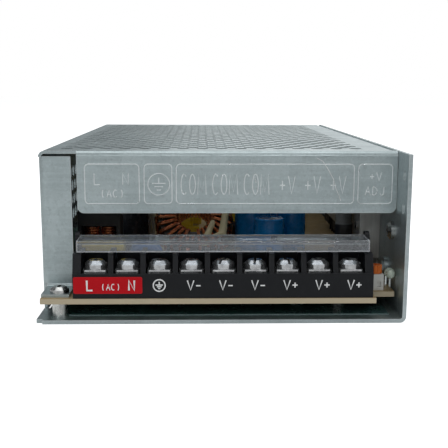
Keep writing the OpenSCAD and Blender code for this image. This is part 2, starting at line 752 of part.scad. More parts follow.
module transformer_core() color("#3b3d40") {
    centre_leg = 8.5;
    translate([trafo[0], trafo[1], board_top + core_z]) {
        difference() {
            translate([-core_w/2, -trafo_l/2, 0]) cube([core_w, trafo_l, core_h]);
            translate([-core_w/2 + leg_side, -trafo_l/2 + end_plate, -1])
                cube([core_w - 2*leg_side, trafo_l - 2*end_plate, core_h + 2]);
        }
        translate([-centre_leg/2, -trafo_l/2 + end_plate - eps, core_h/2 - centre_leg/2])
            cube([centre_leg, trafo_l - 2*end_plate + 2*eps, centre_leg]);
    }
}

module transformer_winding() color("#e0bb2a") {
    hole = 8.5 + 2*slack;
    translate([trafo[0], trafo[1], board_top + core_z + core_h/2]) rotate([90, 0, 0])
        translate([0, 0, -coil_l/2 + 1.2]) linear_extrude(coil_l - 2.4)
            difference() {
                rounded_rect(coil_w, coil_h, 3);
                square(hole, center = true);
            }
}

module transformer_bobbin() color("#1c1d1f") {
    hole = 8.5 + 2*slack;
    z_mid = board_top + core_z + core_h/2;
    for (s = [-1, 1]) translate([trafo[0], trafo[1] + s*(coil_l/2 - 0.6), z_mid]) rotate([90, 0, 0])
        translate([0, 0, -0.6]) linear_extrude(1.2 - fit) difference() {
            square([coil_w, coil_h + 1.5], center = true);
            square(hole, center = true);
        }
    rail_h = core_z - slack;
    for (s = [-1, 1]) translate([trafo[0], trafo[1] + s*(trafo_l/2 - 3.5), board_top]) {
        translate([-core_w/2, -3, 0]) cube([core_w, 6, rail_h]);
    }
}

module transformer_tape() color("#e6c332") {
    tape = 0.4;
    band = core_h - 3.5;
    translate([trafo[0], trafo[1], board_top + core_z + 1.8]) linear_extrude(band) difference() {
        square([core_w + 2*tape, trafo_l + 2*tape], center = true);
        square([core_w + 2*fit, trafo_l + 2*fit], center = true);
    }
}

driver_at = [-14, front_y + 128];
module driver_transformer() color("#d8b42c") {
    translate([driver_at[0], driver_at[1], board_top]) {
        linear_extrude(12) rounded_rect(9, 13, 1.5);
        translate([-8, -2.5, 3]) cube([16, 5, 11]);
        translate([-7, -7, 0]) cube([14, 14, 2.4]);
    }
}

// ---------- output side ----------

// Centre of the wire around the core's section, as [out from the mean radius, along the axis]
wire_r = wire_d/2;
half_r = (ring_od - ring_id)/4 + slack + wire_r;
half_z = ring_t/2 + slack + wire_r;
path_r = 1.3;
corners = [[1, 1], [-1, 1], [-1, -1], [1, -1]];
steps = 12;
function section_point(k) =
    let (c = floor(k/3) % 4, a = 90*c + 45*(k % 3))
    [corners[c][0]*(half_r - path_r) + path_r*cos(a), corners[c][1]*(half_z - path_r) + path_r*sin(a)];
ring_mid = (ring_od + ring_id)/4;
wound_angle = 342;
function wire_point(n) =
    let (p = section_point(n % steps), a = wound_angle*n/(steps*ring_turns) - 90 + (360 - wound_angle)/2)
    [(ring_mid + p[0])*cos(a), (ring_mid + p[0])*sin(a), p[1]];
function core_point(n) =
    let (a = wound_angle*n/(steps*ring_turns) - 90 + (360 - wound_angle)/2) [ring_mid*cos(a), ring_mid*sin(a), 0];
function unit(v) = v/norm(v);

// Tube of six sides along the wound path
module wound_wire() {
    sides = 6;
    last = steps*ring_turns;
    points = [for (n = [0:last])
        let (p = wire_point(n),
             t = unit(wire_point(min(n + 1, last)) - wire_point(max(n - 1, 0))),
             out = p - core_point(n),
             u = unit(out - (out*t)*t),
             v = cross(t, u))
        for (s = [0:sides - 1]) p + wire_r*(cos(360*s/sides)*u + sin(360*s/sides)*v)];
    sides_of_tube = [for (n = [0:last - 1], s = [0:sides - 1])
        let (a = n*sides + s, b = n*sides + (s + 1) % sides) [a, b, b + sides, a + sides]];
    caps = [[for (s = [sides - 1:-1:0]) s], [for (s = [0:sides - 1]) last*sides + s]];
    polyhedron(points, concat(sides_of_tube, caps), convexity = 20);
}

ring_out_r = ring_od/2 + slack + wire_d;
ring_out_z = ring_t/2 + slack + wire_d;
ring_at = [-8.6, front_y + 52, board_top + 0.15 + ring_out_r*cos(ring_lean) + ring_out_z*sin(ring_lean)];
module at_ring() translate(ring_at) rotate([90 - ring_lean, 0, 0]) children();

module output_choke_core() color("#5d6a3a") {
    at_ring() rotate_extrude() translate([ring_id/2, -ring_t/2]) square([(ring_od - ring_id)/2, ring_t]);
}

module output_choke_winding() color("#b8653b") at_ring() wound_wire();

module choke_glue() color("#ded3ae") {
    z = ring_out_z + 1.6;
    at_ring() {
        hull() {
            translate([3.5, -12.2, z - 0.2]) sphere(r = 1.2, $fn = 16);
            translate([9.5, -9.4, z]) sphere(r = 1.4, $fn = 16);
        }
        hull() {
            translate([9.5, -9.4, z]) sphere(r = 1.4, $fn = 16);
            translate([11.2, 2, z]) sphere(r = 1.1, $fn = 16);
        }
        hull() {
            translate([3.5, -12.2, z - 0.2]) sphere(r = 1.2, $fn = 16);
            translate([6.4, -4.5, z]) sphere(r = 0.9, $fn = 16);
        }
    }
}

out_caps = [[16.6, 38, 10, 18.6], [11.9, 50.6, 12.6, 25], [25.2, 51.5, 10, 20], [22.5, 63.6, 10, 20]];
module output_capacitors() color("#1f6fb8") {
    for (c = out_caps) translate([c[0], front_y + c[1], board_top]) can(c[2], c[3]);
}

small_caps = [[35, 133, 6.3, 11], [30, 150, 5, 11], [6, 140, 8, 11.5]];
module small_capacitors() color("#22507f") {
    for (c = small_caps) translate([c[0], front_y + c[1], board_top]) can(c[2], c[3]);
}

module control_chip() color("#202122") {
    translate([8, front_y + 155, board_top]) {
        difference() {
            translate([-10, -3.2, 0.8]) cube([20, 6.4, 3.4]);
            translate([-10, 0, 3.4]) cylinder(r = 1, h = 2);
        }
        for (i = [-3.5:1:3.5], s = [-1, 1])
            translate([i*2.54 - 0.4, s*3.8 - 0.3, 0]) {
                cube([0.8, 0.6, 2.6]);
                translate([0, s > 0 ? -1 : 0, 2.2]) cube([0.8, 1.6, 0.4]);
            }
    }
}

resistor_rows = [for (k = [0:5]) [-26 + 5*k, 172]];
module resistors() color("#caa56a") {
    body_r = 1.3;
    for (p = resistor_rows) translate([p[0], front_y + p[1], board_top + 0.1 + body_r]) rotate([-90, 0, 0]) {
        cylinder(r = body_r, h = 7);
        for (z = [0, 5.4]) translate([0, 0, z]) cylinder(r = body_r + 0.1, h = 1.6);
        translate([0, 0, -2]) cylinder(r = 0.35, h = 11);
        for (z = [-2, 8.3]) translate([-0.35, 0, z]) cube([0.7, body_r + 0.1, 0.7]);
    }
}

// ---------- power devices on the right wall ----------

pad_t = 0.4;
device_w = 15.6;
device_h = 20;
device_z = board_top + 4;
device_x = wall_in_x - pad_t - device_t;        // inner face of the devices
device_y = [for (y = [54, 78, 102, 126]) front_y + y];
lead_gap = 5.4;
device_lead_x = device_x + device_t/2;
pad_y0 = front_y + 39.5;
pad_y1 = front_y + 142;
bar_z0 = board_top + 9;
bar_h = 13;
bar_x = device_x - bar_t;

module insulating_pad() color("#b9bdb9") {
    difference() {
        translate([wall_in_x - pad_t, pad_y0, board_top + 2]) cube([pad_t, pad_y1 - pad_y0, 25]);
        for (y = clamp_screw_y) translate([wall_in_x - 3, y, clamp_screw_z]) rotate([0, 90, 0])
            cylinder(r = m3_r + 0.2, h = 6);
    }
}

module power_devices() color("#26272a") {
    for (y = device_y) {
        translate([device_x, y - device_w/2, device_z]) difference() {
            cube([device_t, device_w, device_h]);
            translate([-1, device_w/2, device_h - 5.5]) rotate([0, 90, 0]) cylinder(r = 1.8, h = device_t + 2);
            translate([-eps, -eps, -eps]) rotate([0, 0, 45]) translate([-1, -1, 0]) cube([2, 2, device_h + 1]);
            translate([-eps, device_w + eps, -eps]) rotate([0, 0, 45]) translate([-1, -1, 0]) cube([2, 2, device_h + 1]);
        }
        for (k = [-1:1]) translate([device_lead_x - 0.3, y + k*lead_gap - 0.6, board_z - 1]) cube([0.6, 1.2, 6.4]);
    }
}

module clamp_bar() color("#c4c8c7") {
    tab_h = 21;
    difference() {
        union() {
            translate([bar_x, pad_y0 - 0.6, bar_z0]) cube([bar_t, pad_y1 - pad_y0 - 2, bar_h]);
            translate([bar_x, pad_y0 - 0.6 - bar_t + eps, board_top + 5])
                cube([wall_in_x - cover_gap - bar_x, bar_t, tab_h]);
        }
        for (y = clamp_screw_y) translate([bar_x - 1, y, clamp_screw_z]) rotate([0, 90, 0])
            cylinder(r = m3_r + fit, h = bar_t + 2);
    }
}

module clamp_screws() color("#d4d7d6") {
    reach = right_x - bar_x + 0.6;
    for (y = clamp_screw_y) translate([right_x, y, clamp_screw_z]) rotate([0, 90, 0]) flat_screw(reach);
}

// ---------- voltage selector behind the left wall ----------

selector_depth = 7.5;
selector_l = 17;
selector_h = 8.6;
slot_w = 5;
slot_l = 10.4;
slider_l = 5.2;
selector_travel = slot_l - slider_l - 0.2;
selector_x = cover_left_in_x + 0.2;

module selector_body() color("#1c1c1d") {
    difference() {
        translate([selector_x, selector_y - selector_l/2, selector_z - selector_h/2])
            cube([selector_depth, selector_l, selector_h]);
        translate([selector_x - 1, selector_y - slot_l/2, selector_z - slot_w/2]) cube([4.2, slot_l, slot_w]);
    }
    for (y = [-5, 0, 5]) translate([selector_x + 4.5, selector_y + y - 0.5, board_top])
        cube([0.8, 1, selector_z - selector_h/2 - board_top + eps]);
}

module selector_slider() color("#b3262b") {
    y0 = selector_y - slot_l/2 + slack;
    difference() {
        translate([selector_x + 0.3, y0, selector_z - slot_w/2 + slack]) cube([2.7, slider_l, slot_w - 2*slack]);
        translate([selector_x, y0 + slider_l/2 - 0.6, selector_z - slot_w]) cube([1.3, 1.2, 2*slot_w]);
    }
}

chassis();
mesh_cover();
insulating_film();
circuit_board();
spacers();
board_screws();
case_screws();
terminal_block();
terminal_plates();
marker_strip();
terminal_cover();
trimmer_body();
trimmer_knob();
indicator_lamp();
mains_fuse();
inrush_thermistor();
mains_capacitor();
disc_capacitors();
filter_choke_core();
filter_choke_windings();
bridge_rectifier();
bulk_capacitors();
transformer_core();
transformer_winding();
transformer_bobbin();
transformer_tape();
driver_transformer();
output_choke_core();
output_choke_winding();
choke_glue();
output_capacitors();
small_capacitors();
control_chip();
resistors();
power_devices();
insulating_pad();
clamp_bar();
clamp_screws();
selector_body();
selector_slider();
for (i = [1:terminals]) {
    clamp_washer(i - 1);
    terminal_screw(i - 1);
}
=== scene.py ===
"""Looks of the mesh case switching power supply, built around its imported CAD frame."""
import math

import bpy
from mathutils import Matrix, Vector


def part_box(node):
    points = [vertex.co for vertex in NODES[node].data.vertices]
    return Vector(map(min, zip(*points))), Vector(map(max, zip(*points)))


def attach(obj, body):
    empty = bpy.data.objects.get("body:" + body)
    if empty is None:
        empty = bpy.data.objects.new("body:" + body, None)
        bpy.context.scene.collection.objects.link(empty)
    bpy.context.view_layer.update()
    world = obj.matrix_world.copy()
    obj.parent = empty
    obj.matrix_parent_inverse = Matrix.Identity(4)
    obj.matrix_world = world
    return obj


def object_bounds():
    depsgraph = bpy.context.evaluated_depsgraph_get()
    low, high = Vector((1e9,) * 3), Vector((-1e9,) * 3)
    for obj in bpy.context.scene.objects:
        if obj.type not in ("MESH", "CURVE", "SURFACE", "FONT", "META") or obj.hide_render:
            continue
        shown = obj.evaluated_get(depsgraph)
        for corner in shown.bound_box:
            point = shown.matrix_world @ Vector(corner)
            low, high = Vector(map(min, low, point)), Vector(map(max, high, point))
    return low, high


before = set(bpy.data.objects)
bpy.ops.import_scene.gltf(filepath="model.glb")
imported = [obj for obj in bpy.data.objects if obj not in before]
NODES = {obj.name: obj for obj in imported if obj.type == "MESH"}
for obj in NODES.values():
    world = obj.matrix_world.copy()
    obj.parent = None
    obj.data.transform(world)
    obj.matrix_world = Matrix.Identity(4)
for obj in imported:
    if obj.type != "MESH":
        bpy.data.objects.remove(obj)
cad_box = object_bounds()
ROOT = "case"


# ---------- camera ----------

CAMERA_AT = (-0.006044, -0.355048, 0.069208)
PITCH, YAW, ROLL = 11.583, -1.702, 0.190
FOCAL_PX, CENTRE_PX, FRAME_PX = 888.57, (227.33, 267.88), 448
camera_data = bpy.data.cameras.new("camera")
camera = bpy.data.objects.new("camera", camera_data)
bpy.context.scene.collection.objects.link(camera)
camera_data.sensor_width = 36
camera_data.lens = FOCAL_PX / FRAME_PX * 36
camera_data.shift_x = (FRAME_PX / 2 - CENTRE_PX[0]) / FRAME_PX
camera_data.shift_y = (CENTRE_PX[1] - FRAME_PX / 2) / FRAME_PX
camera_data.clip_start = 0.01
camera.matrix_world = (
    Matrix.Translation(CAMERA_AT)
    @ Matrix.Rotation(math.radians(YAW), 4, "Z")
    @ Matrix.Rotation(math.radians(90 - PITCH), 4, "X")
    @ Matrix.Rotation(math.radians(ROLL), 4, "Z")
)
bpy.context.scene.camera = camera
bpy.context.scene.view_settings.view_transform = "Standard"


# ---------- materials ----------

class Mat:
    """A node material with short ways to add variation."""

    def __init__(self, name, color, rough=0.45, metal=0.0, spec=0.5, coat=0.0):
        self.mat = bpy.data.materials.new(name)
        self.mat.use_nodes = True
        self.nt = self.mat.node_tree
        self.b = self.nt.nodes["Principled BSDF"]
        self.b.inputs["Metallic"].default_value = metal
        self.b.inputs["Roughness"].default_value = rough
        self.b.inputs["Specular IOR Level"].default_value = spec
        self.b.inputs["Coat Weight"].default_value = coat
        self.b.inputs["Base Color"].default_value = (*color, 1)
        self.color = self.constant(color)
        self.rough = None
        self.height = None
        self.coord = self.nt.nodes.new("ShaderNodeTexCoord")

    def node(self, kind, **values):
        n = self.nt.nodes.new(kind)
        for key, value in values.items():
            setattr(n, key, value)
        return n

    def link(self, a, b):
        self.nt.links.new(a, b)

    def constant(self, color):
        n = self.node("ShaderNodeRGB")
        n.outputs[0].default_value = (*color, 1)
        return n.outputs[0]

    def place(self, stretch=(1, 1, 1), turn=(0, 0, 0)):
        m = self.node("ShaderNodeMapping")
        m.inputs["Scale"].default_value = stretch
        m.inputs["Rotation"].default_value = turn
        self.link(self.coord.outputs["Object"], m.inputs["Vector"])
        return m.outputs["Vector"]

    def noise(self, scale, detail=3, low=0.35, high=0.65, stretch=(1, 1, 1), rough=0.55, turn=(0, 0, 0)):
        n = self.node("ShaderNodeTexNoise")
        n.inputs["Scale"].default_value = scale
        n.inputs["Detail"].default_value = detail
        n.inputs["Roughness"].default_value = rough
        self.link(self.place(stretch, turn), n.inputs["Vector"])
        return self.ramp(n.outputs["Fac"], low, high)

    def cells(self, scale, feature="F1", output="Color", stretch=(1, 1, 1)):
        n = self.node("ShaderNodeTexVoronoi", feature=feature)
        n.inputs["Scale"].default_value = scale
        self.link(self.place(stretch), n.inputs["Vector"])
        return n.outputs[output]

    def ramp(self, value, low, high, to_low=0.0, to_high=1.0):
        n = self.node("ShaderNodeMapRange", clamp=True)
        for key, number in (("From Min", low), ("From Max", high), ("To Min", to_low), ("To Max", to_high)):
            n.inputs[key].default_value = number
        self.link(value, n.inputs["Value"])
        return n.outputs["Result"]

    def math(self, op, a, b=None):
        n = self.node("ShaderNodeMath", operation=op)
        for i, v in enumerate((a, b)):
            if v is None:
                continue
            if isinstance(v, (int, float)):
                n.inputs[i].default_value = v
            else:
                self.link(v, n.inputs[i])
        return n.outputs[0]

    def mix(self, factor, color, amount=1.0, blend="MIX"):
        """Mixes a colour over what is there, by factor times amount."""
        n = self.node("ShaderNodeMix", data_type="RGBA", blend_type=blend)
        self.link(self.math("MULTIPLY", factor, amount), n.inputs[0])
        self.link(self.color, n.inputs[6])
        if isinstance(color, tuple):
            n.inputs[7].default_value = (*color, 1)
        else:
            self.link(color, n.inputs[7])
        self.color = n.outputs[2]
        return self

    def roughen(self, factor, low, high):
        self.rough = self.ramp(factor, 0, 1, low, high)
        return self

    def bump(self, height, depth):
        """Adds to the height field: depth in metres."""
        scaled = self.math("MULTIPLY", height, depth)
        self.height = scaled if self.height is None else self.math("ADD", self.height, scaled)
        return self

    def axis(self, which, kind="Object"):
        n = self.node("ShaderNodeSeparateXYZ")
        self.link(self.coord.outputs[kind], n.inputs[0])
        return n.outputs["XYZ".index(which)]

    def facing(self, which, low=0.6, high=0.9):
        return self.ramp(self.axis(which, "Normal"), low, high)

    def band(self, which, start, end, soft=0.0002):
        """1 between two places along an axis, in metres."""
        a = self.axis(which)
        up = self.ramp(a, start - soft, start + soft)
        down = self.ramp(a, end - soft, end + soft, 1, 0)
        return self.math("MULTIPLY", up, down)

    def edges(self, distance=0.0004, low=0.02, high=0.25):
        """Edge mask for painted highlights: where a small bevel turns the normal."""
        bevel = self.node("ShaderNodeBevel", samples=4)
        bevel.inputs["Radius"].default_value = distance
        geometry = self.node("ShaderNodeNewGeometry")
        dot = self.node("ShaderNodeVectorMath", operation="DOT_PRODUCT")
        self.link(bevel.outputs[0], dot.inputs[0])
        self.link(geometry.outputs["Normal"], dot.inputs[1])
        return self.ramp(self.math("SUBTRACT", 1.0, dot.outputs["Value"]), low, high)

    def dust(self, amount, tone=(0.30, 0.29, 0.27)):
        settled = self.math("MULTIPLY", self.facing("Z", 0.3, 0.95), self.noise(900, 4, 0.3, 0.75))
        return self.mix(settled, tone, amount)

    def done(self):
        self.link(self.color, self.b.inputs["Base Color"])
        if self.rough is not None:
            self.link(self.rough, self.b.inputs["Roughness"])
        if self.height is not None:
            n = self.node("ShaderNodeBump")
            n.inputs["Distance"].default_value = 1.0
            n.inputs["Strength"].default_value = 1.0
            self.link(self.height, n.inputs["Height"])
            self.link(n.outputs[0], self.b.inputs["Normal"])
        return self.mat


def galvanised(name, tone, dark, rough=(0.32, 0.5)):
    m = Mat(name, tone, metal=0.85)
    m.mix(m.ramp(m.cells(130), 0.25, 0.85), dark, 0.35)
    m.mix(m.noise(45, 5, 0.38, 0.7), dark, 0.55)
    m.mix(m.noise(800, 3, 0.45, 0.62, (0.06, 1, 1)), tuple(min(1, c * 1.12) for c in tone), 0.45)
    m.mix(m.noise(1400, 4, 0.52, 0.7), tuple(min(1, c * 1.3) for c in tone), 0.3)
    m.mix(m.noise(1100, 3, 0.55, 0.72), tuple(c * 0.7 for c in dark), 0.3)
    smear = m.noise(260, 4, 0.5, 0.72, (1, 0.2, 0.35))
    m.mix(smear, dark, 0.25)
    # painted highlight: lighter steel along the edges
    m.mix(m.edges(0.0004), (0.86, 0.88, 0.88), 0.5)
    m.roughen(m.noise(150, 4, 0.3, 0.7), *rough)
    m.bump(m.noise(1600, 3, 0.3, 0.7), 0.000004)
    m.bump(m.noise(60, 2, 0.2, 0.8), 0.00003)
    return m.done()


def plastic(name, tone, rough=(0.35, 0.55), grain=0.000006, speck=0.18, dust=0.06, coat=0.0, spec=0.5):
    m = Mat(name, tone, coat=coat, spec=spec)
    light = tuple(min(1, c * 1.35 + 0.01) for c in tone)
    m.mix(m.noise(320, 4, 0.4, 0.7), light, speck)
    m.mix(m.noise(90, 3, 0.45, 0.75), tuple(c * 0.75 for c in tone), speck * 1.6)
    # painted highlight: lighter plastic along the edges
    m.mix(m.edges(0.0003), tuple(min(1, c * 1.6 + 0.06) for c in tone), 0.35)
    m.dust(dust)
    m.roughen(m.noise(500, 3, 0.3, 0.7), *rough)
    m.bump(m.noise(3200, 2, 0.2, 0.8), grain)
    return m.done()


def plated(name, tone=(0.80, 0.81, 0.80), rough=(0.14, 0.32), wave=0.00002, metal=1.0):
    m = Mat(name, tone, metal=metal)
    m.mix(m.noise(420, 3, 0.42, 0.62), tuple(c * 0.45 for c in tone), 0.7)
    m.mix(m.noise(1500, 3, 0.45, 0.7), tuple(c * 0.7 for c in tone), 0.5)
    # painted highlight: near-white metal along the edges
    m.mix(m.edges(0.0002), (0.92, 0.92, 0.91), 0.6)
    m.roughen(m.noise(1200, 3, 0.3, 0.7), *rough)
    m.bump(m.noise(2600, 2, 0.2, 0.8), 0.000006)
    m.bump(m.noise(450, 1, 0.2, 0.8), wave)
    return m.done()


STEEL = (0.46, 0.53, 0.54)
steel_cover = galvanised("galvanised_cover", STEEL, (0.33, 0.39, 0.40))
steel_chassis = galvanised("galvanised_chassis", (0.47, 0.53, 0.54), (0.32, 0.38, 0.39))
zinc = plated("zinc_plating", (0.60, 0.61, 0.60), (0.16, 0.30))
screw_zinc = plated("screw_plating", (0.56, 0.57, 0.58), (0.06, 0.2), 0.00003, 0.8)
tin = plated("tinned_brass", (0.34, 0.34, 0.32), (0.12, 0.26), 0.00004)
nickel = plated("nickel_spacer", (0.72, 0.73, 0.70), (0.2, 0.38))
black = plastic("black_moulding", (0.006, 0.007, 0.009), (0.30, 0.44), 0.000008, 0.2, 0.012, spec=0.22)
resin = plastic("black_resin", (0.012, 0.013, 0.015), (0.42, 0.62), 0.00001, 0.3, 0.03, spec=0.3)
white_body = plastic("white_moulding", (0.72, 0.72, 0.68), (0.35, 0.5), 0.000004, 0.1)
orange = plastic("orange_moulding", (0.75, 0.17, 0.02), (0.3, 0.45), 0.000004, 0.15)
red_slider = plastic("red_moulding", (0.50, 0.02, 0.02), (0.3, 0.45))
green_disc = plastic("green_coating", (0.02, 0.07, 0.05), (0.4, 0.6))
blue_disc = plastic("blue_coating", (0.02, 0.14, 0.38), (0.25, 0.4), coat=0.3)
glue_mat = plastic("cream_glue", (0.66, 0.58, 0.36), (0.45, 0.65), 0.00003, 0.3)
pad_mat = plastic("grey_pad", (0.36, 0.38, 0.36), (0.6, 0.8), 0.00001, 0.25)
ferrite = plastic("ferrite", (0.045, 0.045, 0.05), (0.5, 0.7), 0.000012, 0.3)
label_red = plastic("red_label", (0.50, 0.004, 0.010), (0.4, 0.52), 0.000003, 0.1, 0.0, spec=0.12)
print_white = plastic("white_print", (0.78, 0.80, 0.80), (0.4, 0.55), 0.000003, 0.1, 0.0)
# near-black core: the coating's tone darkened as painted shade for the ring's hole
core_paint = plastic("core_paint", (0.03, 0.028, 0.02), (0.35, 0.5))


def board_material():
    """Tan laminate: paler on its cut edges, solder mask and tracks beneath."""
    m = Mat("board_laminate", (0.42, 0.30, 0.15), rough=0.5)
    m.mix(m.noise(260, 5, 0.35, 0.7), (0.30, 0.21, 0.10), 0.45)
    m.mix(m.noise(1500, 3, 0.45, 0.65, (0.1, 1, 1)), (0.55, 0.42, 0.24), 0.3)
    side = m.math("SUBTRACT", 1.0, m.math("ABSOLUTE", m.axis("Z", "Normal")))
    m.mix(m.ramp(side, 0.4, 0.7), (0.50, 0.43, 0.30), 0.9)
    under = m.ramp(m.axis("Z", "Normal"), -0.5, -0.9)
    tracks = m.ramp(m.cells(95, "DISTANCE_TO_EDGE", "Distance"), 0.04, 0.06)
    m.mix(under, (0.02, 0.10, 0.06), 0.95)
    m.mix(m.math("MULTIPLY", under, tracks), (0.04, 0.17, 0.09), 0.9)
    m.roughen(m.noise(300, 3), 0.4, 0.6)
    m.bump(m.noise(1800, 3, 0.2, 0.8), 0.000006)
    return m.done()


def film_material():
    m = Mat("insulating_film", (0.05, 0.11, 0.11), rough=0.18, coat=0.4)
    m.mix(m.noise(120, 4, 0.4, 0.7), (0.09, 0.15, 0.15), 0.5)
    # painted highlight: pale film along the edges
    m.mix(m.edges(0.0003), (0.45, 0.55, 0.54), 0.8)
    m.roughen(m.noise(200, 3), 0.12, 0.3)
    m.bump(m.noise(70, 2, 0.2, 0.8), 0.00006)
    return m.done()


def clear_material():
    m = Mat("clear_cover", (0.88, 0.93, 0.98), rough=0.03)
    # painted highlight: white rims, with less transmission, along the cover's edges
    rim_highlight = m.edges(0.0005, 0.01, 0.2)
    m.link(m.ramp(rim_highlight, 0, 1, 0.93, 0.35), m.b.inputs["Transmission Weight"])
    m.b.inputs["IOR"].default_value = 1.49
    m.mix(m.noise(300, 4, 0.5, 0.8), (0.82, 0.86, 0.90), 0.4)
    m.mix(rim_highlight, (0.96, 0.98, 1.0), 0.9)
    m.roughen(m.noise(420, 5, 0.45, 0.8), 0.015, 0.09)
    m.bump(m.noise(180, 3, 0.2, 0.8), 0.000003)
    return m.done()


def copper_material(name, tone=(0.62, 0.22, 0.09)):
    m = Mat(name, tone, rough=0.24, metal=0.9, coat=0.4)
    m.mix(m.noise(500, 4, 0.4, 0.7), (0.30, 0.06, 0.025), 0.6)
    m.mix(m.noise(160, 2, 0.5, 0.75), (0.86, 0.40, 0.18), 0.4)
    m.roughen(m.noise(700, 3), 0.16, 0.36)
    m.bump(m.noise(1500, 2, 0.2, 0.8), 0.000008)
    return m.done()


def can_material(name, sleeve, stripe, top=(0.55, 0.57, 0.58)):
    """Sleeved can: bare aluminium inside the rolled-over sleeve on top, a pale stripe down one side."""
    m = Mat(name, sleeve, rough=0.3, spec=0.35, coat=0.15)
    m.mix(m.noise(260, 4, 0.4, 0.7), tuple(c * 0.6 for c in sleeve), 0.4)
    m.mix(m.noise(1800, 2, 0.5, 0.7, (1, 1, 0.1)), tuple(min(1, c * 1.5 + 0.02) for c in sleeve), 0.2)
    side = m.facing("X", 0.90, 0.93)
    m.mix(side, stripe, 0.85)
    flat = m.facing("Z", 0.98, 0.995)
    m.mix(flat, top, 0.95)
    m.link(m.math("MULTIPLY", flat, 0.9), m.b.inputs["Metallic"])
    m.roughen(m.noise(500, 3), 0.2, 0.36)
    m.bump(m.noise(220, 3, 0.2, 0.8), 0.00002)
    return m.done()


def tape_material(name, tone=(0.62, 0.44, 0.02), wrap=1800):
    m = Mat(name, tone, rough=0.3, coat=0.3)
    m.mix(m.noise(wrap, 2, 0.45, 0.6, (0.05, 0.05, 1)), tuple(c * 0.7 for c in tone), 0.5)
    m.mix(m.noise(220, 4, 0.45, 0.75), (0.85, 0.68, 0.15), 0.4)
    m.roughen(m.noise(300, 3), 0.22, 0.42)
    m.bump(m.noise(wrap, 2, 0.3, 0.7, (0.05, 0.05, 1)), 0.00002)
    return m.done()


def rod_material():
    """Upright rod: black sleeve below, grey winding cover above."""
    m = Mat("rod_inductor", (0.02, 0.02, 0.022), rough=0.35)
    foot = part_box("circuit_board")[1][2]
    m.mix(m.ramp(m.axis("Z"), foot + 0.0146, foot + 0.0149), (0.16, 0.17, 0.17), 1.0)
    m.mix(m.noise(400, 4, 0.4, 0.7), (0.05, 0.05, 0.05), 0.4)
    m.roughen(m.noise(500, 3), 0.3, 0.5)
    m.bump(m.noise(900, 3, 0.2, 0.8, (1, 1, 0.2)), 0.00001)
    return m.done()


def resistor_material():
    """Lacquered bodies with coloured rings along Y."""
    m = Mat("resistor_lacquer", (0.55, 0.40, 0.22), rough=0.35, coat=0.3)
    y0, y1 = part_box("resistors")[0][1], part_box("resistors")[1][1]
    ring_w = 0.0007
    brown, jet, red, gold = (0.25, 0.08, 0.02), (0.02, 0.02, 0.02), (0.5, 0.05, 0.02), (0.6, 0.45, 0.12)
    for share, ring in ((0.30, brown), (0.42, jet), (0.54, red), (0.72, gold)):
        start = y0 + (y1 - y0) * share
        m.mix(m.band("Y", start, start + ring_w), ring, 0.95)
    m.mix(m.noise(600, 3, 0.4, 0.7), (0.35, 0.24, 0.12), 0.3)
    return m.done()


def bar_material():
    m = Mat("aluminium_bar", (0.52, 0.52, 0.50), metal=0.6)
    m.mix(m.noise(1400, 3, 0.4, 0.65, (1, 1, 0.05)), (0.40, 0.40, 0.39), 0.45)
    m.mix(m.noise(90, 4, 0.45, 0.75), (0.62, 0.62, 0.60), 0.4)
    # painted highlight: lighter aluminium along the edges
    m.mix(m.edges(0.0003), (0.78, 0.78, 0.77), 0.5)
    m.roughen(m.noise(300, 3), 0.38, 0.55)
    m.bump(m.noise(1400, 3, 0.2, 0.8, (1, 1, 0.05)), 0.000008)
    return m.done()


def lamp_material():
    m = Mat("lamp_lens", (0.62, 0.72, 0.60), rough=0.12, coat=0.5)
    m.b.inputs["Transmission Weight"].default_value = 0.35
    m.mix(m.noise(600, 3), (0.75, 0.82, 0.74), 0.4)
    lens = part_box("indicator_lamp")
    legs = m.ramp(m.axis("Y"), lens[1][1] - 0.0021, lens[1][1] - 0.0019)
    m.mix(legs, (0.80, 0.81, 0.80), 1.0)
    m.link(legs, m.b.inputs["Metallic"])
    return m.done()


def fuse_material():
    m = Mat("fuse", (0.60, 0.66, 0.64), rough=0.12, coat=0.5)
    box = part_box("mains_fuse")
    middle = m.band("Y", box[0][1] + 0.005, box[1][1] - 0.005)
    m.color = m.constant((0.74, 0.72, 0.66))
    m.mix(middle, (0.34, 0.38, 0.36), 1.0)
    m.link(m.math("SUBTRACT", 1.0, middle), m.b.inputs["Metallic"])
    m.mix(m.noise(500, 3), (0.5, 0.5, 0.48), 0.3)
    return m.done()


copper = copper_material("enamelled_copper")
blue_can = can_material("blue_sleeve", (0.002, 0.20, 0.55), (0.01, 0.26, 0.62))
black_can = can_material("black_sleeve", (0.02, 0.022, 0.028), (0.30, 0.31, 0.30))
navy_can = can_material("navy_sleeve", (0.02, 0.05, 0.14), (0.40, 0.42, 0.44))
yellow_case = tape_material("yellow_case", (0.70, 0.50, 0.03), 900)
tape = tape_material("polyester_tape")

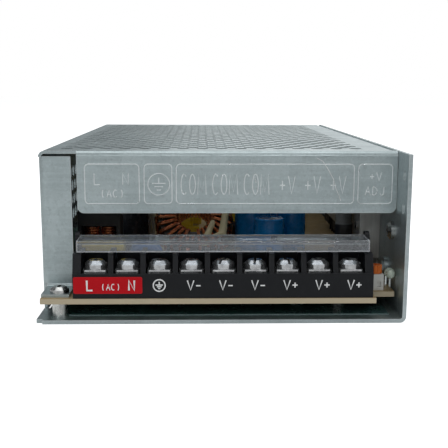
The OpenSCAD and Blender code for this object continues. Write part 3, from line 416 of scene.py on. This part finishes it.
LOOKS = {
    "chassis": steel_chassis, "mesh_cover": steel_cover, "insulating_film": film_material(),
    "circuit_board": board_material(), "spacers": nickel, "board_screws": zinc, "case_screws": zinc,
    "terminal_block": black, "terminal_plates": tin, "marker_strip": label_red,
    "terminal_cover": clear_material(), "trimmer_body": white_body, "trimmer_knob": orange,
    "indicator_lamp": lamp_material(), "mains_fuse": fuse_material(), "inrush_thermistor": green_disc,
    "mains_capacitor": yellow_case, "disc_capacitors": blue_disc, "filter_choke_core": resin,
    "filter_choke_windings": copper, "bridge_rectifier": resin, "bulk_capacitors": black_can,
    "transformer_core": ferrite, "transformer_winding": tape, "transformer_bobbin": black,
    "transformer_tape": tape, "driver_transformer": yellow_case, "output_choke_core": core_paint,
    "output_choke_winding": copper, "choke_glue": glue_mat, "output_capacitors": blue_can,
    "small_capacitors": navy_can, "control_chip": resin, "resistors": resistor_material(),
    "power_devices": resin, "insulating_pad": pad_mat, "clamp_bar": bar_material(),
    "clamp_screws": zinc, "selector_body": black, "selector_slider": red_slider,
}
for name, obj in NODES.items():
    look = LOOKS.get(name, screw_zinc)
    obj.data.materials.clear()
    obj.data.materials.append(look)


# ---------- marks, drawn as strokes ----------

def arc(cx, cz, r, start, end, n=12):
    return [(cx + r * math.cos(math.radians(start + (end - start) * k / n)),
             cz + r * math.sin(math.radians(start + (end - start) * k / n))) for k in range(n + 1)]


def oval(cx, cz, rx, rz, start, end, n=16):
    return [(cx + rx * (x - cx), cz + rz * (z - cz)) for x, z in arc(cx, cz, 1, start, end, n)]


# Each letter in a cell 1 high and 0.6 wide
LETTERS = {
    "L": [[(0.05, 1), (0.05, 0), (0.55, 0)]],
    "N": [[(0.05, 0), (0.05, 1), (0.55, 0), (0.55, 1)]],
    "A": [[(0, 0), (0.3, 1), (0.6, 0)], [(0.12, 0.38), (0.48, 0.38)]],
    "C": [oval(0.3, 0.5, 0.28, 0.5, 50, 310)],
    "O": [oval(0.3, 0.5, 0.27, 0.5, 0, 360)],
    "M": [[(0, 0), (0.08, 1), (0.4, 0.12), (0.72, 1), (0.8, 0)]],
    "V": [[(0, 1), (0.3, 0), (0.6, 1)]],
    "D": [[(0.05, 0), (0.05, 1)], oval(0.05, 0.5, 0.5, 0.5, 90, -90)],
    "J": [[(0.5, 1), (0.5, 0.25)], oval(0.28, 0.25, 0.22, 0.25, 0, -170)],
    "+": [[(0.08, 0.48), (0.56, 0.48)], [(0.32, 0.74), (0.32, 0.22)]],
    "-": [[(0.08, 0.45), (0.5, 0.45)]],
    "(": [oval(0.45, 0.5, 0.25, 0.62, 120, 240)],
    ")": [oval(0.15, 0.5, 0.25, 0.62, 60, -60)],
}


def word(text, x, z, height, width=None, gap=0.25):
    """Strokes of a word centred on x with its foot at z, all in metres."""
    width = width or height
    step = (0.6 + gap) * width
    left = x - (len(text) * step - gap * width) / 2
    return [[(left + i * step + px * width, z + pz * height) for px, pz in stroke]
            for i, letter in enumerate(text) if letter != " " for stroke in LETTERS[letter]]


def frame_strokes(x0, x1, z0, z1, r=0.0012):
    """A closed rectangle with rounded corners."""
    left, right, low, high = x0 + r, x1 - r, z0 + r, z1 - r
    out = []
    for cx, cz, start in ((right, high, 0), (left, high, 90), (left, low, 180), (right, low, 270)):
        out += arc(cx, cz, r, start, start + 90, 5)
    return [out + [out[0]]]


def earth(x, z, r):
    return [arc(x, z, r, 0, 360, 32), [(x, z + r * 0.62), (x, z + r * 0.08)],
            [(x - r * 0.62, z + r * 0.08), (x + r * 0.62, z + r * 0.08)],
            [(x - r * 0.40, z - r * 0.22), (x + r * 0.40, z - r * 0.22)],
            [(x - r * 0.20, z - r * 0.52), (x + r * 0.20, z - r * 0.52)]]


def strokes(name, lines, y, radius, depth, material, body=ROOT):
    """Lines on a face that looks towards -Y, as flattened tubes half sunk into it."""
    curve = bpy.data.curves.new(name, "CURVE")
    curve.dimensions = "3D"
    curve.bevel_depth = 1.0
    curve.bevel_resolution = 2
    curve.use_fill_caps = True
    for line in lines:
        closed = len(line) > 2 and math.dist(line[0], line[-1]) < 1e-6
        pts = line[:-1] if closed else line
        spline = curve.splines.new("POLY")
        spline.points.add(len(pts) - 1)
        for p, (px, pz) in zip(spline.points, pts):
            p.co = (px / radius, 0, pz / radius, 1)
        spline.use_cyclic_u = closed
    holder = bpy.data.objects.new(name, curve)
    bpy.context.scene.collection.objects.link(holder)
    mesh = bpy.data.meshes.new_from_object(holder.evaluated_get(bpy.context.evaluated_depsgraph_get()))
    bpy.data.objects.remove(holder)
    mesh.transform(Matrix.Diagonal((radius, depth, radius, 1)))
    mesh.transform(Matrix.Translation((0, y, 0)))
    mesh.materials.clear()
    mesh.materials.append(material)
    obj = bpy.data.objects.new(name, mesh)
    bpy.context.scene.collection.objects.link(obj)
    for p in mesh.polygons:
        p.use_smooth = True
    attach(obj, body)
    return obj


MM = 0.001
LIP_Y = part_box("mesh_cover")[0][1] + 0.0117
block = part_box("terminal_block")
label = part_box("marker_strip")


def terminal_x(i):
    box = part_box("terminal_screw_%d" % (i + 1))
    return (box[0][0] + box[1][0]) / 2


# stamped on the front lip
# the raised lines get a lighter steel tone: a painted highlight for the light they catch
stamp = galvanised("stamped_line_highlight", (0.76, 0.81, 0.82), (0.64, 0.69, 0.70), (0.26, 0.38))
PANEL_Z = (34 * MM, 46 * MM)
ADJUST_X = 47.0 * MM
lip_marks = []
for x0, x1 in ((-41.2, -24.8), (-23.3, -14.9), (-13.6, 40.5), (41.8, 52.2)):
    lip_marks += frame_strokes(x0 * MM, x1 * MM, *PANEL_Z)
lip_marks += word("L", -37.5 * MM, 39.8 * MM, 3.4 * MM)
lip_marks += word("N", -28.9 * MM, 39.8 * MM, 3.4 * MM)
lip_marks += word("(AC)", -33.0 * MM, 36.0 * MM, 2.2 * MM)
lip_marks += earth(-18.9 * MM, 39.9 * MM, 3.3 * MM)
for k in range(3):
    lip_marks += word("COM", (-8.7 + 9.55 * k) * MM, 36.8 * MM, 6.2 * MM, 3.25 * MM, 0.18)
for k in range(3):
    lip_marks += word("+V", (20.0 + 7.75 * k) * MM, 37.0 * MM, 5.4 * MM, 3.4 * MM)
lip_marks += word("+V", ADJUST_X, 41.0 * MM, 2.6 * MM)
lip_marks += word("ADJ", ADJUST_X, 36.6 * MM, 2.6 * MM)
strokes("lip_marks", lip_marks, LIP_Y, 0.20 * MM, 0.15 * MM, stamp)

scratch_tone = plated("scratch", (0.80, 0.83, 0.83), (0.25, 0.4))
long_scratch = [(28.9, 47.9), (30.8, 46.9), (32.8, 43.9), (34.2, 41.4), (34.9, 38.9), (36.1, 36.2),
                (36.5, 34.9)]
short_scratch = [(9.4, 41.2), (10.3, 42.1), (10.6, 40.4)]
scratches = [[(x * MM, z * MM) for x, z in line] for line in (long_scratch, short_scratch)]
strokes("lip_scratch", scratches, LIP_Y, 0.12 * MM, 0.05 * MM, scratch_tone)

# printed on the terminal block and its red strip
BLOCK_Y = block[0][1]
LABEL_Y = label[0][1]
PRINT_DEPTH = 0.04 * MM
foot_z = block[0][2] + 2.5 * MM
white_marks = earth(terminal_x(2), foot_z + 1.4 * MM, 1.75 * MM)
for i in range(3, 9):
    text = "V-" if i < 6 else "V+"
    white_marks += word(text, terminal_x(i) + 0.9 * MM, foot_z, 2.9 * MM, 3.2 * MM, 0.12)
strokes("block_marks", white_marks, BLOCK_Y, 0.20 * MM, PRINT_DEPTH, print_white)
letter_shift = 1.4 * MM
label_marks = (
    word("L", terminal_x(0) - letter_shift, foot_z, 3.0 * MM, 3.2 * MM)
    + word("N", terminal_x(1) + letter_shift, foot_z, 3.0 * MM, 3.2 * MM)
)
strokes("label_letters", label_marks, LABEL_Y, 0.30 * MM, PRINT_DEPTH, print_white)
mains_x = (terminal_x(0) + terminal_x(1)) / 2
mains_marks = word("(AC)", mains_x, foot_z + 0.1 * MM, 1.8 * MM, 1.7 * MM)
strokes("label_words", mains_marks, LABEL_Y, 0.13 * MM, PRINT_DEPTH, print_white)


# ---------- upright rod choke, a piece of the scene ----------

def turned(name, profile, at, material, body=ROOT, sides=40):
    """A solid of revolution about Z from (radius, height) points, in metres."""
    turns = [(math.cos(2 * math.pi * k / sides), math.sin(2 * math.pi * k / sides)) for k in range(sides)]
    verts = [(r * c, r * s, z) for r, z in profile for c, s in turns]
    faces = []
    for i in range(len(profile) - 1):
        for k in range(sides):
            a, b = i * sides + k, i * sides + (k + 1) % sides
            faces.append((a, b, b + sides, a + sides))
    faces.append(tuple(range(sides - 1, -1, -1)))
    faces.append(tuple(range((len(profile) - 1) * sides, len(profile) * sides)))
    mesh = bpy.data.meshes.new(name)
    mesh.from_pydata(verts, [], faces)
    for p in mesh.polygons:
        p.use_smooth = len(p.vertices) == 4
    mesh.transform(Matrix.Translation(at))
    mesh.materials.append(material)
    obj = bpy.data.objects.new(name, mesh)
    bpy.context.scene.collection.objects.link(obj)
    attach(obj, body)
    return obj


BOARD_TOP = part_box("circuit_board")[1][2]
FRONT_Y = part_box("chassis")[0][1]
rod_profile = [(3.1, 0.05), (3.1, 14.6), (3.0, 15), (2.85, 15), (2.85, 26.5), (2.5, 27.2), (1.9, 27.3)]
rod_profile = [(r * MM, z * MM) for r, z in rod_profile]
rod_at = (43.5 * MM, FRONT_Y + 50 * MM, BOARD_TOP)
turned("rod_choke", rod_profile, rod_at, rod_material())


# ---------- floor, backdrop and lights ----------

def light(name, at, target, size, watts):
    data = bpy.data.lights.new(name, "AREA")
    data.shape = "RECTANGLE"
    data.size, data.size_y = size
    data.energy = watts
    obj = bpy.data.objects.new(name, data)
    bpy.context.scene.collection.objects.link(obj)
    obj.location = at
    obj.rotation_euler = (Vector(target) - Vector(at)).to_track_quat("-Z", "Y").to_euler()
    return obj


floor_mesh = bpy.data.meshes.new("floor")
S = 4.0
floor_mesh.from_pydata([(-S, -S, 0), (S, -S, 0), (S, S, 0), (-S, S, 0)], [], [(0, 1, 2, 3)])
floor = bpy.data.objects.new("floor", floor_mesh)
bpy.context.scene.collection.objects.link(floor)
floor.location.z = cad_box[0][2] - 0.00005
floor_look = Mat("floor_paper", (0.93, 0.93, 0.93), rough=0.9, spec=0.1)
floor_look.mix(floor_look.noise(12, 2), (0.95, 0.95, 0.95), 0.5)
floor_look.done()
floor_look.b.inputs["Emission Color"].default_value = (1, 1, 1, 1)
seen = floor_look.node("ShaderNodeLightPath").outputs["Is Camera Ray"]
floor_look.link(floor_look.ramp(seen, 0, 1, 0.1, 0.80), floor_look.b.inputs["Emission Strength"])
floor_mesh.materials.append(floor_look.mat)

world = bpy.data.worlds.new("world")
bpy.context.scene.world = world
world.use_nodes = True
wt = world.node_tree
back = wt.nodes["Background"]
back.inputs["Color"].default_value = (0.86, 0.90, 0.93, 1)
back.inputs["Strength"].default_value = 0.24
white = wt.nodes.new("ShaderNodeBackground")
white.inputs["Color"].default_value = (1, 1, 1, 1)
white.inputs["Strength"].default_value = 1.0
path = wt.nodes.new("ShaderNodeLightPath")
choose = wt.nodes.new("ShaderNodeMixShader")
wt.links.new(path.outputs["Is Camera Ray"], choose.inputs[0])
wt.links.new(back.outputs[0], choose.inputs[1])
wt.links.new(white.outputs[0], choose.inputs[2])
wt.links.new(choose.outputs[0], wt.nodes["World Output"].inputs["Surface"])

light("overhead", (0.0, 0.05, 0.9), (0, 0, 0.03), (1.0, 0.9), 3.9)
light("front_soft", (-0.5, -1.1, 0.55), (0, -0.05, 0.03), (0.8, 0.6), 1.7)
light("front_spark", (0.12, -0.95, 0.62), (0, -0.08, 0.03), (0.16, 0.16), 0.75)
light("right_soft", (0.9, -0.7, 0.5), (0, -0.05, 0.03), (0.5, 0.7), 1.4)
light("rear_soft", (0.3, 1.1, 0.6), (0, 0.05, 0.03), (0.8, 0.6), 2.1)
